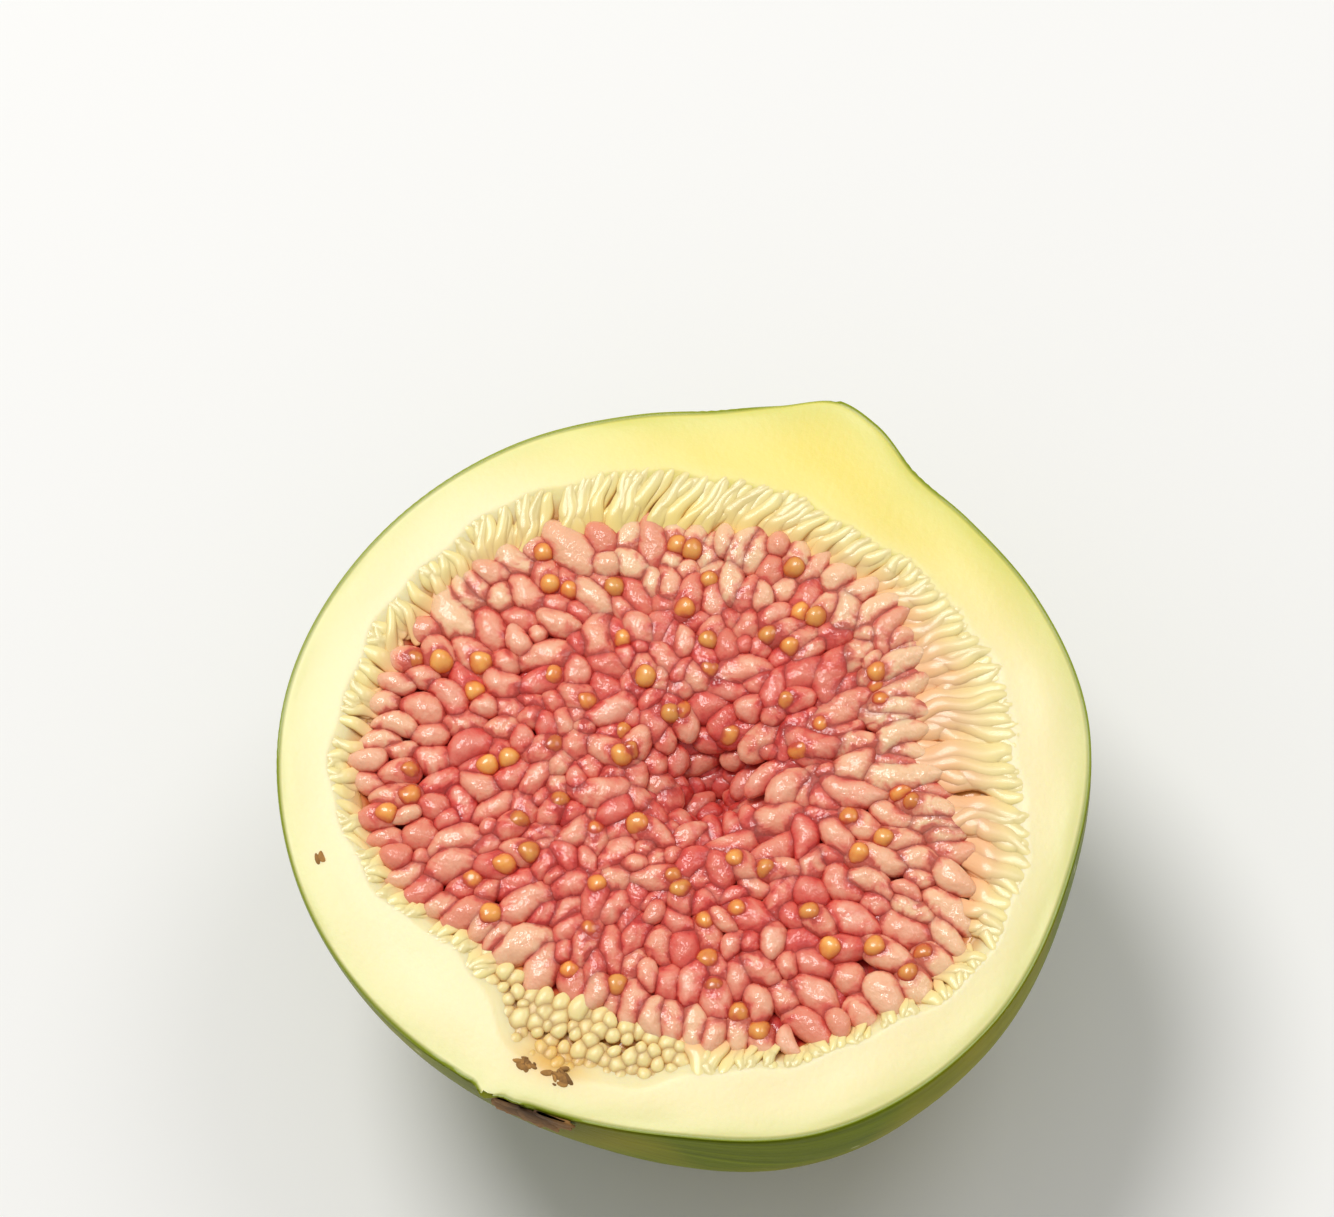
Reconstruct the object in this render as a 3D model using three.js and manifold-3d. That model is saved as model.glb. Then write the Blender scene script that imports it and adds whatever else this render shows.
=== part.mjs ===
// Half of a fresh green fig, cut lengthwise from stem to eye, lying on its skin with the cut face up.
// Millimetres, +Z up. +Y runs along the fig's axis towards the stem.
// The origin is on the resting surface, under the middle of the fig.
import * as THREE from "three";
import { mergeVertices } from "three/addons/utils/BufferGeometryUtils.js";
import Module from "manifold-3d";

const wasm = await Module();
wasm.setup();

// Driving dimensions
const FIG_LENGTH = 53; // eye to stem end
const FIG_WIDTH = 52; // across the widest part
const CUT_HEIGHT = 25.2; // cut face above the resting surface
const PULP_WIDTH = 44.4; // red pulp with its pale fringe, across the fig
const PULP_LENGTH = 40.6; // the same along the fig's axis
const PULP_CENTRE_Y = -1; // the wall is thicker at the stem end
const SEAT_GAP = 0.3; // between the pulp and the wall that holds it

// Skin: faint ribs run from the stem to the eye
const RIB_COUNT = 16;
const RIB_DEPTH = 0.4;
const SKIN_SEGMENTS = 64; // round the whole fig
const SKIN_STATIONS = 22; // along the fig

// Eye: small dry scales overlap round the closed opening
const EYE_SCALE_COUNT = 10;
const EYE_SCALE_RING = 2.4; // from the fig's axis to a scale's middle
const EYE_SCALE_SIZE = new THREE.Vector3(1.2, 0.5, 1.9); // half width, half thickness and half length
const EYE_SCALE_SINK = 0.75; // middle of a scale inside the end of the fig
const EYE_SCALE_TILT = 0.2; // radians, following the rounded end

// Pulp: sacs, seeds, stalks and grains stand out of a core that is dished below the cut face
const PULP_DROP = 0.12; // edge of the pulp below the cut face
const DISH_RIM = 0.4; // flat edge left round the dish
const DISH_SLOPE = 1.6; // width of its sloping side
const DISH_DEPTH = 1.15;
const HOLLOW_AT = new THREE.Vector2(2.2, -0.8); // small open middle of the fruit
const HOLLOW_RADIUS = 3;
const HOLLOW_DEPTH = 2.6;
const SAC_COUNT = 140;
const SAC_RADIUS = 1.6;
const SAC_STRETCH = 0.35; // how much longer than wide the sacs at the edge are
const SAC_HEIGHT = 1.5;
const SAC_TOP = 0.1; // the highest sacs above the cut face
const SAC_TOP_SPREAD = 0.6;
const SAC_TURN_SPREAD = 0.9; // radians
const SEED_EVERY = 3; // every third sac shows its seed
const SEED_RADIUS = 0.85;
const SEED_SHIFT = 0.8; // towards the middle of the fruit, on the sacs that lie down
const STALK_COUNT = 56;
const STALK_RADIUS = 1;
const STALK_OVERLAP = 1.6; // how far a stalk runs in under the sacs
const STALK_END_GAP = 0.1; // from a stalk's outer end to the edge of the pulp
const STALK_TURN_SPREAD = 0.2; // radians
const GRAIN_COUNT = 18;
const GRAIN_RADIUS = 0.9;
const GRAIN_AT = new THREE.Vector2(0, -17.8); // middle of the grainy patch inside the eye
const GRAIN_SPREAD = new THREE.Vector2(5.6, 2.2);
const SIZE_SPREAD = 0.28; // sizes vary by this share of themselves

// Facets
const PULP_SIDES = 32;
const HOLLOW_SIDES = 8;
const FLORET_SIDES = 6;
const FLORET_RINGS = 3;
const EYE_SCALE_SIDES = 8;

const halfLength = FIG_LENGTH / 2;
const halfWidth = FIG_WIDTH / 2;
const pulpHalfWidth = PULP_WIDTH / 2;
const pulpHalfLength = PULP_LENGTH / 2;
const GOLDEN_ANGLE = Math.PI * (3 - Math.sqrt(5));

// Half width along the fig, from its eye end at 0 to its stem end at 1
const OUTLINE = [
  [0.008, 0],
  [0.016, 0.22],
  [0.045, 0.45],
  [0.1, 0.65],
  [0.2, 0.835],
  [0.32, 0.95],
  [0.46, 1],
  [0.6, 0.965],
  [0.72, 0.865],
  [0.82, 0.7],
  [0.9, 0.46],
  [0.95, 0.28],
  [0.988, 0.14],
  [1, 0],
];

// Solids

function solid(geometry) {
  geometry.deleteAttribute("normal");
  geometry.deleteAttribute("uv");
  const merged = mergeVertices(geometry, 1e-4);
  const mesh = new wasm.Mesh({
    numProp: 3,
    vertProperties: merged.attributes.position.array,
    triVerts: new Uint32Array(merged.index.array),
  });
  return new wasm.Manifold(mesh);
}

function geometryOf(manifold) {
  const mesh = manifold.getMesh();
  const geometry = new THREE.BufferGeometry();
  geometry.setAttribute("position", new THREE.BufferAttribute(mesh.vertProperties, 3));
  geometry.setIndex(new THREE.BufferAttribute(mesh.triVerts, 1));
  geometry.computeVertexNormals();
  return geometry;
}

// The outermost shell alone, so pockets closed in between the florets are solid
function filled(manifold) {
  const shells = manifold.decompose();
  return shells.reduce((largest, shell) => (shell.volume() > largest.volume() ? shell : largest));
}

function slab(bottom, top) {
  const side = FIG_LENGTH * 2;
  return solid(new THREE.BoxGeometry(side, side, top - bottom).translate(0, 0, (bottom + top) / 2));
}

// An upright ellipsoid, its first radius turned to an angle in the cut plane
function dome(radii, angle, at, sides = FLORET_SIDES, rings = FLORET_RINGS) {
  const geometry = new THREE.SphereGeometry(1, sides, rings).rotateX(Math.PI / 2);
  geometry.scale(radii.x, radii.y, radii.z).rotateZ(angle).translate(at.x, at.y, at.z);
  return solid(geometry);
}

// A repeatable draw from 0 to 1 for item i
function draw(i, salt) {
  const wave = Math.sin(i * 12.9898 + salt * 78.233) * 43758.5453;
  return wave - Math.floor(wave);
}

function vary(i, salt, spread) {
  return 1 + spread * (draw(i, salt) - 0.5);
}

function each(count, make) {
  return Array.from({ length: count }, (_, i) => make(i));
}

// Wall: green skin and pale flesh, grown as one

function figBody() {
  const knots = OUTLINE.map(
    ([along, share]) => new THREE.Vector2(share * halfWidth, (along - 0.5) * FIG_LENGTH),
  );
  const profile = new THREE.SplineCurve(knots).getSpacedPoints(SKIN_STATIONS);
  const geometry = new THREE.LatheGeometry(profile, SKIN_SEGMENTS);
  const position = geometry.attributes.position;
  for (let i = 0; i < position.count; i++) {
    const x = position.getX(i);
    const z = position.getZ(i);
    const wave = 0.5 - 0.5 * Math.cos(RIB_COUNT * Math.atan2(x, z));
    const swell = 1 - (wave * RIB_DEPTH) / halfWidth;
    position.setX(i, x * swell);
    position.setZ(i, z * swell);
  }
  return solid(geometry);
}

function eyeScale(i) {
  const round = (i / EYE_SCALE_COUNT) * 2 * Math.PI;
  const geometry = new THREE.SphereGeometry(1, EYE_SCALE_SIDES, EYE_SCALE_SIDES - 2);
  geometry.scale(EYE_SCALE_SIZE.x, EYE_SCALE_SIZE.y, EYE_SCALE_SIZE.z).rotateX(-EYE_SCALE_TILT);
  geometry.translate(0, EYE_SCALE_SINK - halfLength, EYE_SCALE_RING).rotateY(round);
  return solid(geometry);
}

function pulpBody(grow) {
  const geometry = new THREE.SphereGeometry(1, PULP_SIDES, PULP_SIDES / 2);
  geometry.scale(pulpHalfWidth + grow, pulpHalfLength + grow, pulpHalfWidth + grow);
  return solid(geometry.translate(0, PULP_CENTRE_Y, 0));
}

function figWall() {
  const whole = wasm.Manifold.union([figBody(), ...each(EYE_SCALE_COUNT, eyeScale)]);
  return whole.intersect(slab(-CUT_HEIGHT, 0)).subtract(pulpBody(SEAT_GAP));
}

// Pulp: the florets that line the wall and meet in the middle

// Distance from the pulp's middle to its outer edge at an angle
function pulpEdge(angle) {
  return 1 / Math.hypot(Math.cos(angle) / pulpHalfWidth, Math.sin(angle) / pulpHalfLength);
}

function inPulp(angle, distance) {
  const along = PULP_CENTRE_Y + Math.sin(angle) * distance;
  return new THREE.Vector3(Math.cos(angle) * distance, along, 0);
}

function bump(angle, middle, spread) {
  const off = Math.atan2(Math.sin(angle - middle), Math.cos(angle - middle));
  return Math.exp(-((off / spread) ** 2));
}

// Length of the pale stalks, longest on the fig's upper right and short on its left
function fringe(angle) {
  const right = 8 * bump(angle, 0.5, 0.5);
  const stemEnd = 1.6 * bump(angle, 1.6, 0.6);
  const eyeEnd = 3.6 * bump(angle, -1.57, 0.34);
  return 1.6 + right + stemEnd + eyeEnd;
}

function pulpCore() {
  const dishRadius = pulpHalfWidth - DISH_RIM;
  const dish = new THREE.CylinderGeometry(dishRadius, dishRadius - DISH_SLOPE, DISH_DEPTH, PULP_SIDES);
  dish.rotateX(Math.PI / 2).scale(1, pulpHalfLength / pulpHalfWidth, 1);
  dish.translate(0, PULP_CENTRE_Y, -PULP_DROP - DISH_DEPTH / 2);
  const hollowSize = new THREE.Vector3(HOLLOW_RADIUS, HOLLOW_RADIUS, HOLLOW_DEPTH);
  const hollowAt = new THREE.Vector3(HOLLOW_AT.x, HOLLOW_AT.y, -DISH_DEPTH);
  return pulpBody(0)
    .intersect(slab(-CUT_HEIGHT, -PULP_DROP))
    .subtract(solid(dish))
    .subtract(dome(hollowSize, 0, hollowAt, HOLLOW_SIDES, HOLLOW_SIDES));
}

// The sacs fill the red middle on a loosened sunflower spiral. Those at its edge lie along the stalks,
// those in the middle stand on end, and the ones round the hollow sink into it.
function sacPlace(i) {
  const share = Math.sqrt((i + 0.5) / SAC_COUNT);
  const angle = i * GOLDEN_ANGLE + (draw(i, 1) - 0.5) / Math.sqrt(i + 1);
  const reach = pulpEdge(angle) - fringe(angle);
  const at = inPulp(angle, reach * share);
  const fromHollow = Math.hypot(at.x - HOLLOW_AT.x, at.y - HOLLOW_AT.y) / HOLLOW_RADIUS;
  at.z = SAC_TOP - SAC_TOP_SPREAD * draw(i, 2) - HOLLOW_DEPTH * Math.exp(-(fromHollow ** 2));
  return { angle, share, at, size: vary(i, 3, SIZE_SPREAD), turn: (draw(i, 4) - 0.5) * SAC_TURN_SPREAD };
}

function sac(place) {
  const radii = new THREE.Vector3(SAC_RADIUS * (1 + SAC_STRETCH * place.share), SAC_RADIUS, SAC_HEIGHT);
  radii.multiplyScalar(place.size);
  const at = place.at.clone().setZ(place.at.z - radii.z);
  return dome(radii, place.angle + place.turn, at);
}

function seed(place) {
  const outwards = new THREE.Vector3(Math.cos(place.angle), Math.sin(place.angle), 0);
  const at = place.at.clone().addScaledVector(outwards, -SEED_SHIFT * place.share);
  at.z -= SEED_RADIUS / 2;
  return dome(new THREE.Vector3(SEED_RADIUS, SEED_RADIUS, SEED_RADIUS), place.turn, at);
}

function stalk(i) {
  const angle = ((i + 0.5 * draw(i, 5)) / STALK_COUNT) * 2 * Math.PI;
  const length = fringe(angle) * vary(i, 6, SIZE_SPREAD) + STALK_OVERLAP;
  const radius = STALK_RADIUS * vary(i, 7, SIZE_SPREAD);
  const at = inPulp(angle, pulpEdge(angle) - STALK_END_GAP - length / 2);
  at.z = -radius;
  const turn = (draw(i, 8) - 0.5) * STALK_TURN_SPREAD;
  return dome(new THREE.Vector3(length / 2, radius, radius), angle + turn, at);
}

function grain(i) {
  const share = Math.sqrt((i + 0.5) / GRAIN_COUNT);
  const angle = i * GOLDEN_ANGLE;
  const radius = GRAIN_RADIUS * vary(i, 9, SIZE_SPREAD);
  const across = GRAIN_AT.x + Math.cos(angle) * share * GRAIN_SPREAD.x;
  const along = GRAIN_AT.y + Math.sin(angle) * share * GRAIN_SPREAD.y;
  return dome(new THREE.Vector3(radius, radius, radius), angle, new THREE.Vector3(across, along, -radius));
}

function figPulp() {
  const places = each(SAC_COUNT, sacPlace);
  const florets = [
    ...each(STALK_COUNT, stalk),
    ...each(GRAIN_COUNT, grain),
    ...places.map(sac),
    ...places.filter((_, i) => i % SEED_EVERY === 0).map(seed),
  ];
  return filled(wasm.Manifold.union([pulpCore(), ...florets]));
}

// Scene graph

function part(name, manifold, colour, roughness) {
  const material = new THREE.MeshStandardMaterial({ color: colour, roughness, metalness: 0 });
  const mesh = new THREE.Mesh(geometryOf(manifold), material);
  mesh.name = name;
  return mesh;
}

const fig = new THREE.Group();
fig.position.z = CUT_HEIGHT;
fig.add(part("fig_wall", figWall(), "#b4b64a", 0.5));
fig.add(part("fig_pulp", figPulp(), "#d5705e", 0.3));
const box = new THREE.Box3().setFromObject(fig);
fig.position.y = -(box.min.y + box.max.y) / 2;

export default fig;
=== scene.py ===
"""Half of a fresh green fig, cut lengthwise and lying on its skin, dressed over its CAD frame.

Shapes are worked out in millimetres from the middle of the cut face: x across the fig, y along its axis
towards the stem, z up from the cut. make_piece turns them into metres in the frame.
"""

import math
from types import SimpleNamespace

import bpy
import numpy as np
from mathutils import Matrix, Vector


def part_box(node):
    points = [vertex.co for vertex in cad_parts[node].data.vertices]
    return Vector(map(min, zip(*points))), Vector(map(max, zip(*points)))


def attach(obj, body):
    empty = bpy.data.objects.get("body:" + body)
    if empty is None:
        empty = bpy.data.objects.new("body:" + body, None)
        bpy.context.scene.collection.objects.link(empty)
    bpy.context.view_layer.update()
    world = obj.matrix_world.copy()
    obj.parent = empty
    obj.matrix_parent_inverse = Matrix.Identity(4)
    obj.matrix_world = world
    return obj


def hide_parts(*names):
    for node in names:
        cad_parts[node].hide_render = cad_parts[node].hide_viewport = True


bl_info = {
    "name": "Fresh fig half",
    "version": (1, 0, 0),
    "blender": (4, 5, 0),
    "location": "View3D > Sidebar > Fig",
    "description": "Builds the skin, flesh, florets and seeds of a halved fig over its CAD frame",
    "category": "Object",
}

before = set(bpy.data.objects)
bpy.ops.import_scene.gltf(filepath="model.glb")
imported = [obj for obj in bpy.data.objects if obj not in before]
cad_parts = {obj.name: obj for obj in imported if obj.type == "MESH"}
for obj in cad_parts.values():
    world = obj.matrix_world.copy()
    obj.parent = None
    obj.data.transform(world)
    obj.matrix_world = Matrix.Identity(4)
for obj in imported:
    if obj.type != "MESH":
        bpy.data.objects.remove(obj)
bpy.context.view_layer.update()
WALL_LOW, WALL_HIGH = (Vector(corner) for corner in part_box("fig_wall"))
PULP_LOW, PULP_HIGH = (Vector(corner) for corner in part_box("fig_pulp"))
MM = 0.001
GOLDEN_ANGLE = math.pi * (3 - math.sqrt(5))


def linear(hex_colour):
    """An sRGB hex colour as linear red, green, blue and alpha."""
    parts = [int(hex_colour[i : i + 2], 16) / 255 for i in (1, 3, 5)]
    straight = [c / 12.92 if c <= 0.04045 else ((c + 0.055) / 1.055) ** 2.4 for c in parts]
    return (*straight, 1.0)


def length_property(name, description, default):
    return bpy.props.FloatProperty(
        name=name, description=description, default=default, min=0, unit="LENGTH", subtype="DISTANCE"
    )


def colour_property(name, description, hex_colour):
    return bpy.props.FloatVectorProperty(
        name=name,
        description=description,
        default=linear(hex_colour),
        size=4,
        min=0,
        max=1,
        subtype="COLOR",
    )


def count_property(name, description, default):
    return bpy.props.IntProperty(name=name, description=description, default=default, min=1)


class FigSizes(bpy.types.PropertyGroup):
    """Sizes of the fig and of what fills it"""

    width: length_property("Width", "Across the widest part of the cut face", WALL_HIGH.x - WALL_LOW.x)
    cut_height: length_property("Cut height", "Cut face above the resting surface", WALL_HIGH.z)
    pulp_width: length_property("Pulp width", "Pulp with its fringe, across", PULP_HIGH.x - PULP_LOW.x)
    sac_width: length_property("Sac width", "Width of a red floret sac", 1.95 * MM)
    seed_length: length_property("Seed length", "Length of a seed", 1.75 * MM)
    stalk_width: length_property("Stalk width", "Width of a pale floret stalk", 1.45 * MM)
    grain_width: length_property("Grain width", "Width of a pale grain inside the eye", 1.15 * MM)
    sac_count: count_property("Sacs", "Sacs on the cut face", 375)
    # The lower sacs are darker only by painted shade.
    low_sac_count: count_property("Lower sacs", "Darker sacs that show between the others", 230)
    stalk_count: count_property("Stalks", "Stalks round the pulp, in each of three layers", 100)
    seed_every: count_property("Seed every", "One sac in this many shows its seed", 5)


class FigColours(bpy.types.PropertyGroup):
    """Colours of the fig's surfaces"""

    skin: colour_property("Skin", "Green of the skin", "#5f6a06")
    skin_streak: colour_property("Skin streak", "Paler streaks of the skin", "#85920f")
    skin_ripe: colour_property("Skin, ripe", "Yellow patches of the skin", "#a39520")
    skin_dark: colour_property("Skin, dark", "Olive green round the eye", "#424a0e")
    stem: colour_property("Stem", "Brownish skin at the stem", "#857a30")
    dot: colour_property("Dots", "Pale dots on the skin", "#c9c98c")
    rind: colour_property("Rind", "Cut edge just under the skin", "#cdd67a")
    flesh: colour_property("Flesh", "Cream of the cut flesh", "#f6e6ae")
    flesh_stem: colour_property("Flesh at the stem", "Yellow flesh at the stem end", "#f0dd68")
    eye_stain: colour_property("Eye stain", "Orange stain in the flesh at the eye", "#f0b85c")
    sac: colour_property("Sac", "Pink of a sac", "#ea7661")
    # Partly painted light: a sac's open top is paler, as if lit through, over its own pale pink.
    sac_pale_and_lit: colour_property("Sac, pale", "Pale top of a sac", "#f5ad92")
    sac_peach: colour_property("Sac, peach", "Sacs next to the pale stalks", "#fac89c")
    # Partly painted shade: the ramp puts this red on sac sides next to their neighbours; the tint puts it
    # on some sacs at random.
    sac_red: colour_property("Sac, red", "Red side of a sac", "#de4c42")
    # Painted shade over the red of the juice: crimson where sacs meet, in the hollow, on the lower sacs
    # and on the ground.
    crevice_crimson_and_shade: colour_property("Crevice", "Crimson between the sacs", "#c0302a")
    stalk: colour_property("Stalk", "Cream root of a stalk", "#fbe69c")
    stalk_tip: colour_property("Stalk tip", "Peach end of a stalk", "#f8bd8a")
    stalk_stem: colour_property("Stalk at the stem", "Yellow stalks at the stem end", "#fade88")
    # Painted shade: brown on the lower sides of the stalks, where the flesh dips under them, on the
    # ground between them and in the seams of the eye grains.
    crease_shade: colour_property("Crease", "Brown between the stalks", "#d2934a")
    grain: colour_property("Grain", "Pale yellow grains inside the eye", "#f8df9a")
    grain_eye: colour_property("Grain at the eye", "Orange grains next to the eye", "#f0bd62")
    seed: colour_property("Seed", "Golden seeds", "#f0a44c")
    # Painted light: the pale middle is the lit top of a seed.
    seed_lit_middle: colour_property("Seed, pale", "Pale middle of a seed", "#f8bf74")
    # Painted shade: the darker orange on a seed's sides.
    seed_shaded_rim: colour_property("Seed rim", "Orange rim of a seed", "#dd7a35")
    seed_foot: colour_property("Seed foot", "Red where a seed sits in its sac", "#c4452a")
    scale: colour_property("Scale", "Dry scales of the eye", "#4a3016")
    scale_rim: colour_property("Scale rim", "Paler torn edge of a scale", "#c08a45")
    floor: colour_property("Floor", "Pale paper under the fig", "#f4f3f0")


# Shapes in the cut plane

# Distance from the middle of the cut face to its edge, as a share of half the fig's width, by angle in
# degrees: 0 is the fig's right side, 90 its stem and -90 its eye.
FACE_OUTLINE = (
    (-90, 0.995),
    (-70, 1.01),
    (-49, 1.07),
    (-23, 1.065),
    (0, 1.02),
    (24, 1.005),
    (45, 0.96),
    (62, 0.933),
    (74, 0.94),
    (83, 1.0),
    (90, 1.022),
    (97, 0.977),
    (106, 0.938),
    (119, 0.937),
    (140, 0.967),
    (168, 1.003),
    (190, 1.025),
    (217, 1.017),
    (250, 1.0),
)

# The same for the edge of the pulp, from the pulp's middle and as a share of half its width. It narrows
# beside the eye, and a funnel leads to the eye.
PULP_OUTLINE = (
    (-150, 0.995),
    (-135, 0.935),
    (-119, 0.85),
    (-106, 0.87),
    (-94, 1.0),
    (-80, 1.0),
    (-64, 0.96),
    (-37, 1.015),
    (-12, 1.085),
    (0, 1.065),
    (13, 1.01),
    (42, 0.955),
    (73, 0.892),
    (104, 0.918),
    (141, 0.985),
    (177, 1.01),
)


def measures(context):
    """The sizes in millimetres, widths and lengths halved, and the counts."""
    group = context.scene.fig_sizes
    return SimpleNamespace(
        half_width=group.width / MM / 2,
        cut_height=group.cut_height / MM,
        pulp_across=group.pulp_width / MM / 2,
        pulp_y=(PULP_LOW.y + PULP_HIGH.y) / MM / 2,
        sac=group.sac_width / MM / 2,
        seed=group.seed_length / MM / 2,
        stalk=group.stalk_width / MM / 2,
        grain=group.grain_width / MM / 2,
        sac_count=group.sac_count,
        low_sac_count=group.low_sac_count,
        stalk_count=group.stalk_count,
        seed_every=group.seed_every,
    )


def smooth_loop(knots, degrees):
    """A smooth closed curve through knots of angle and value, read at angles in degrees."""
    at = np.array([k[0] for k in knots], float)
    value = np.array([k[1] for k in knots], float)
    at = np.concatenate([at[-2:] - 360, at, at[:2] + 360])
    value = np.concatenate([value[-2:], value, value[:2]])
    slope = np.gradient(value, at)
    turned = (degrees - at[2]) % 360 + at[2]
    i = np.clip(np.searchsorted(at, turned, side="right") - 1, 0, len(at) - 2)
    gap = at[i + 1] - at[i]
    t = (turned - at[i]) / gap
    start = (1 + 2 * t) * (1 - t) ** 2 * value[i] + t * (1 - t) ** 2 * gap * slope[i]
    end = t**2 * (3 - 2 * t) * value[i + 1] + t**2 * (t - 1) * gap * slope[i + 1]
    return start + end


def bump(angle, middle, spread):
    off = np.arctan2(np.sin(angle - middle), np.cos(angle - middle))
    return np.exp(-((off / spread) ** 2))


def face_edge(size, angle):
    """Distance from the middle of the cut face to its edge, ragged where the knife passed the eye."""
    ragged = bump(angle, -1.67, 0.06) * (0.45 + 0.25 * np.sin(70 * angle))
    return size.half_width * smooth_loop(FACE_OUTLINE, np.degrees(angle)) + ragged


def pulp_edge(size, angle):
    """Distance from the pulp's middle to the flesh."""
    ragged = 0.16 * np.sin(13 * angle) + 0.14 * np.sin(29 * angle + 1)
    return size.pulp_across * smooth_loop(PULP_OUTLINE, np.degrees(angle)) + ragged


def sac_edge(size, angle):
    """Distance from the pulp's middle to the outermost sacs. The stalks fill the rest."""
    right = 5.4 * bump(angle, 0.42, 0.5)
    stem_end = 2.5 * bump(angle, 1.9, 0.65)
    eye_end = 4.6 * bump(angle, -1.5, 0.34)
    left = 0.8 * bump(angle, 3.1, 0.9)
    return pulp_edge(size, angle) - 1.0 - right - stem_end - eye_end - left


def smooth_step(low, high, value):
    t = np.clip((value - low) / (high - low), 0, 1)
    return t * t * (3 - 2 * t)


# Meshes


def closed_faces(rows, columns):
    """Quads between rings, and a fan over each end, for rings stacked row by row and then two middles."""
    row = np.arange(rows - 1)[:, None] * columns
    column = np.arange(columns)[None, :]
    after = (column + 1) % columns
    quads = np.stack([row + column, row + after, row + columns + after, row + columns + column], axis=-1)
    first, last = rows * columns, rows * columns + 1
    ring = np.arange(columns)
    turn = (ring + 1) % columns
    end = (rows - 1) * columns
    fans = [[first, b, a] for a, b in zip(ring, turn)]
    fans += [[last, end + a, end + b] for a, b in zip(ring, turn)]
    return quads.reshape(-1, 4).tolist(), fans


class Gathered:
    """Collects closed shells and their named values into one mesh."""

    def __init__(self):
        self.points = []
        self.faces = []
        self.values = {}
        self.count = 0

    def add(self, rings, **values):
        """rings is rows by columns by 3. Each value is one number, or rows by columns."""
        rows, columns, _ = rings.shape
        flat = rings.reshape(-1, 3)
        middles = [rings[0].mean(axis=0), rings[-1].mean(axis=0)]
        quads, fans = closed_faces(rows, columns)
        self.faces += [[i + self.count for i in face] for face in quads + fans]
        self.points.append(np.concatenate([flat, middles]))
        for name, value in values.items():
            spread = np.broadcast_to(np.asarray(value, float), (rows, columns))
            ends = [spread[0].mean(), spread[-1].mean()]
            self.values.setdefault(name, []).append(np.concatenate([spread.ravel(), ends]))
        self.count += rows * columns + 2


def make_piece(name, gathered, size, materials, node, material_of_face=None):
    """One mesh object from gathered shells, standing for a CAD node and riding on the fig."""
    points = np.concatenate(gathered.points)
    points[:, 2] += size.cut_height
    mesh = bpy.data.meshes.new(name)
    mesh.from_pydata((points * MM).tolist(), [], gathered.faces)
    for value_name, parts in gathered.values.items():
        attribute = mesh.attributes.new(value_name, "FLOAT", "POINT")
        attribute.data.foreach_set("value", np.concatenate(parts).astype(np.float32))
    for material in materials:
        mesh.materials.append(material)
    if material_of_face is not None:
        mesh.polygons.foreach_set("material_index", material_of_face)
    mesh.shade_smooth()
    if mesh.validate():
        raise RuntimeError(f"{name} had faces that Blender can't use")
    piece = bpy.data.objects.new(name, mesh)
    bpy.context.scene.collection.objects.link(piece)
    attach(piece, "root")
    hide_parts(node)
    return piece


# Materials


def grey(share):
    """A stop of a colour ramp that gives a share."""
    return (share, share, share, 1)


def add_node(tree, kind, inputs=None, stops=None, out=None, **settings):
    """Adds a node with its settings, links and ramp stops, and returns the output that is used."""
    made = tree.nodes.new(kind)
    for name, value in settings.items():
        setattr(made, name, value)
    for name, value in (inputs or {}).items():
        if isinstance(value, bpy.types.NodeSocket):
            tree.links.new(value, made.inputs[name])
        else:
            made.inputs[name].default_value = value
    for i, (at, colour) in enumerate(stops or []):
        ramp = made.color_ramp.elements
        stop = ramp[i] if i < 2 else ramp.new(at)
        stop.position = at
        stop.color = colour
    if out:
        return made.outputs[out]
    return next((socket for socket in made.outputs if socket.enabled), None)


def new_material(name):
    """An empty material and its node tree."""
    material = bpy.data.materials.new(name)
    material.use_nodes = True
    material.node_tree.nodes.clear()
    return material, material.node_tree


def finish_material(tree, inputs):
    shader = add_node(tree, "ShaderNodeBsdfPrincipled", inputs)
    add_node(tree, "ShaderNodeOutputMaterial", {"Surface": shader})


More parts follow.
